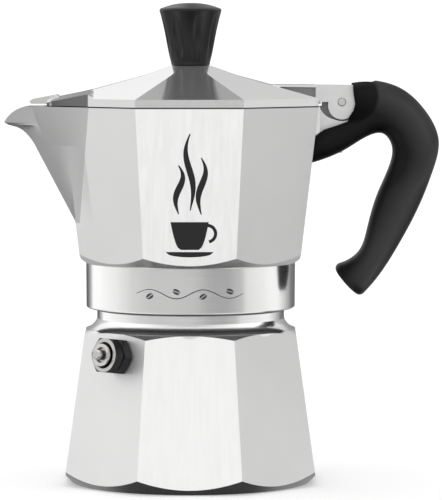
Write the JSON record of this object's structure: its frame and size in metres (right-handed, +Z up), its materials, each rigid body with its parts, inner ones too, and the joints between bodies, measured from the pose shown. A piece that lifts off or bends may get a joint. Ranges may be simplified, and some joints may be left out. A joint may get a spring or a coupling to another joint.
{
  "type": "moka pot",
  "caption": "Stove-top coffee maker with an octagonal boiler, threaded round collar, flared spouted jug, hinged lid and black handle and knob.",
  "frame": {"origin": "on the pot's axis, at the flat underside of the boiler", "axes": "+Z up along the axis, +X toward the handle, -X toward the spout, the safety valve is on the -X -Y side"},
  "size_m": [0.1496, 0.0874, 0.1651],
  "materials": {
    "cast_aluminium": "polished cast and turned aluminium",
    "sheet_aluminium": "satin pressed sheet",
    "black_phenolic": "satin black heat-resistant phenolic",
    "gasket_rubber": "off-white moulded rubber",
    "seal_rubber": "black rubber",
    "steel": "plain steel",
    "plated_brass": "nickel-plated brass, turned",
    "brass": "plain brass"
  },
  "bodies": {
    "boiler": {"boiler": "cast_aluminium", "valve_washer": "seal_rubber", "valve_body": "plated_brass", "valve_retainer": "steel", "valve_spring": "steel"},
    "relief_pin": {"valve_pin": "steel", "valve_seal": "seal_rubber"},
    "funnel": {"funnel": "sheet_aluminium", "funnel_sieve": "sheet_aluminium"},
    "gasket": {"gasket": "gasket_rubber"},
    "filter_plate": {"filter_plate": "sheet_aluminium"},
    "collector": {"collector": "cast_aluminium", "handle": "black_phenolic", "handle_screw": "steel", "hinge_pin": "steel"},
    "lid": {"lid": "cast_aluminium", "knob": "black_phenolic", "knob_insert": "brass", "knob_washer": "steel", "knob_screw": "steel"}
  },
  "joints": [
    {"name": "valve_release", "type": "slide", "parent": "boiler", "child": "relief_pin", "axis": [-0.7006, -0.7006, 0.1352], "range_m": [0, 0.0015], "stiffness_N_per_m": 1500, "springref_m": -0.0005, "deforming": ["valve_spring"]},
    {"name": "funnel_lift", "type": "slide", "parent": "boiler", "child": "funnel", "axis": [0, 0, 1], "range_m": [0, 0.09]},
    {"name": "collector_lift_off", "type": "slide", "parent": "funnel", "child": "gasket", "axis": [0, 0, 1], "range_m": [0, 0.07]},
    {"name": "thread_raise", "type": "slide", "parent": "gasket", "child": "filter_plate", "axis": [0, 0, 1], "range_m": [0, 0.006]},
    {"name": "collector_unscrew", "type": "hinge", "parent": "filter_plate", "child": "collector", "pos_m": [0, 0, 0.065], "axis": [0, 0, 1], "range_deg": [0, 540]},
    {"name": "lid_hinge", "type": "hinge", "parent": "collector", "child": "lid", "pos_m": [0.052, 0, 0.1311], "axis": [0, 1, 0], "range_deg": [0, 100]}
  ],
  "couplings": [
    {"joint": "thread_raise", "follows": "collector_unscrew", "m_per_rad": 0.00063662}
  ]
}
